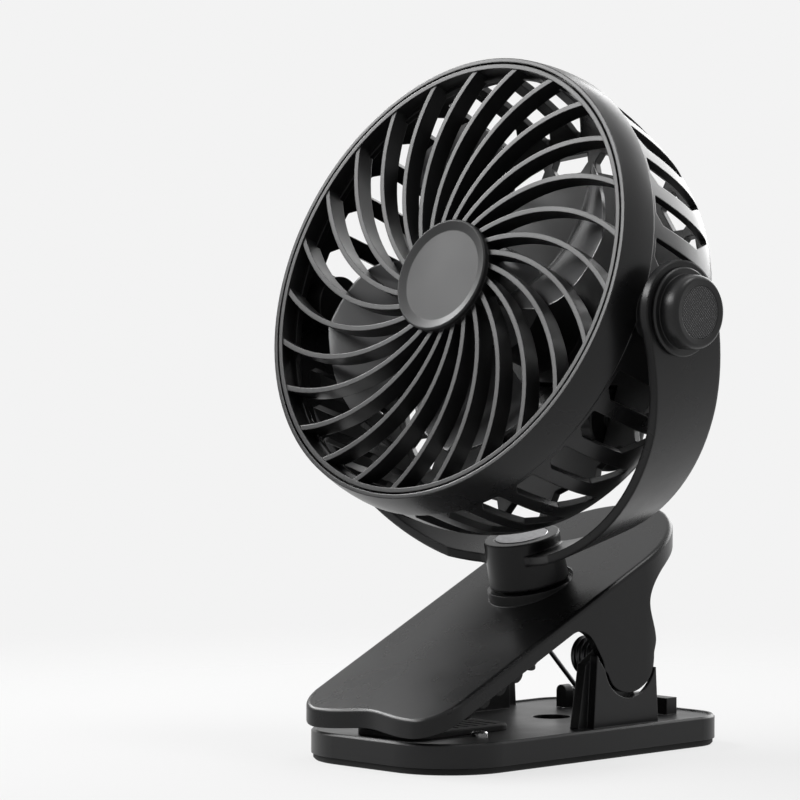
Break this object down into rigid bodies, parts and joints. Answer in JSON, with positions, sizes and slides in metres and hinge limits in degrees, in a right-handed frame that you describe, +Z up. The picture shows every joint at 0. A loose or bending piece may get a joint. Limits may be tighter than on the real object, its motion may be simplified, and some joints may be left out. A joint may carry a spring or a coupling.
{
  "type": "clip fan",
  "caption": "Small black clip-on fan: ribbed round head tilting in a bent yoke, on a swivel post above a sprung clamp whose flat base also stands on a table",
  "frame": {"origin": "centre of the base's flat underside, on the surface that the fan stands on", "axes": "+Z up, -Y the way the fan blows and the clamp opens, +X to the right seen from the front"},
  "size_m": [0.1708, 0.1246, 0.2109],
  "materials": {
    "sole_rubber": "matt black rubber",
    "base_shell": "satin black plastic",
    "pin_steel": "plain steel",
    "spring_steel": "dark spring steel",
    "pad_rubber_low": "matt black rubber",
    "screw_steel_low": "bright steel",
    "jaw_shell": "satin black plastic",
    "pad_rubber_high": "matt black rubber",
    "screw_steel_high": "bright steel",
    "yoke_shell": "satin black plastic",
    "cap_silver": "satin silver disc",
    "bolt_steel": "plain steel",
    "nut_steel": "plain steel",
    "washer_nylon": "black nylon",
    "drum_shell": "satin black plastic",
    "insert_brass": "plain brass",
    "tilt_rubber": "black rubber",
    "grille_shell": "satin black plastic",
    "hub_disc": "satin black plastic, bare",
    "cover_shell": "satin black plastic",
    "pod_shell": "satin black plastic",
    "screw_steel_pod": "dark steel",
    "screw_steel_cover": "dark steel",
    "motor_can": "zinc plated can",
    "cell_wrap": "black shrink wrapped cell",
    "board_dark": "black laminate",
    "screw_steel_pivot": "blackened steel",
    "port_steel": "bright steel",
    "impeller_grey": "glossy grey plastic",
    "shaft_steel": "ground steel",
    "knob_shell_right": "satin black plastic",
    "knob_disc_right": "fine diagonal texture",
    "button_shell": "satin dark plastic"
  },
  "bodies": {
    "base": {"base_sole": "sole_rubber", "base_plate": "base_shell", "hinge_pins": "pin_steel", "torsion_springs": "spring_steel", "lower_grip_pad": "pad_rubber_low", "lower_pad_screws": "screw_steel_low"},
    "jaw": {"upper_jaw": "jaw_shell", "upper_grip_pad": "pad_rubber_high", "upper_pad_screws": "screw_steel_high"},
    "swivel": {"yoke": "yoke_shell", "post_cap": "cap_silver", "swivel_bolt": "bolt_steel", "swivel_nut": "nut_steel", "swivel_washers": "washer_nylon"},
    "head": {"housing_drum": "drum_shell", "thread_inserts": "insert_brass", "tilt_washers": "tilt_rubber", "front_grille": "grille_shell", "hub_cap": "hub_disc", "rear_grille": "cover_shell", "rear_pod": "pod_shell", "pod_screws": "screw_steel_pod", "housing_screws": "screw_steel_cover", "motor": "motor_can", "battery_cell": "cell_wrap", "control_board": "board_dark", "usb_port": "port_steel", "pivot_screw": "screw_steel_pivot"},
    "rotor": {"impeller": "impeller_grey", "motor_shaft": "shaft_steel"},
    "tilt_knob_right": {"knob_right": "knob_shell_right", "knob_right_disc": "knob_disc_right"},
    "button": {"power_button": "button_shell"}
  },
  "joints": [
    {"name": "jaw_hinge", "type": "hinge", "parent": "base", "child": "jaw", "pos_m": [0, 0.021, 0.0285], "axis": [-1, 0, 0], "range_deg": [0, 22], "stiffness_Nm_per_rad": 1.5, "springref_deg": -34.38, "deforming": ["torsion_springs"]},
    {"name": "post_swivel", "type": "hinge", "parent": "jaw", "child": "swivel", "pos_m": [0, 0.00907, 0.04975], "axis": [0, -0.2419, 0.9703], "continuous": true},
    {"name": "head_tilt", "type": "hinge", "parent": "swivel", "child": "head", "pos_m": [0, -0.01234, 0.1356], "axis": [-1, 0, 0], "range_deg": [-90, 90]},
    {"name": "impeller_spin", "type": "hinge", "parent": "head", "child": "rotor", "pos_m": [0, -0.02847, 0.14531], "axis": [0, -0.9377, 0.3474], "continuous": true},
    {"name": "knob_right_turn", "type": "hinge", "parent": "head", "child": "tilt_knob_right", "pos_m": [0.085, -0.01234, 0.1356], "axis": [1, 0, 0], "range_deg": [0, 360]},
    {"name": "power_press", "type": "slide", "parent": "head", "child": "button", "axis": [0, -0.9377, 0.3474], "range_m": [0, 0.0008], "stiffness_N_per_m": 900, "springref_m": -0.0006}
  ]
}
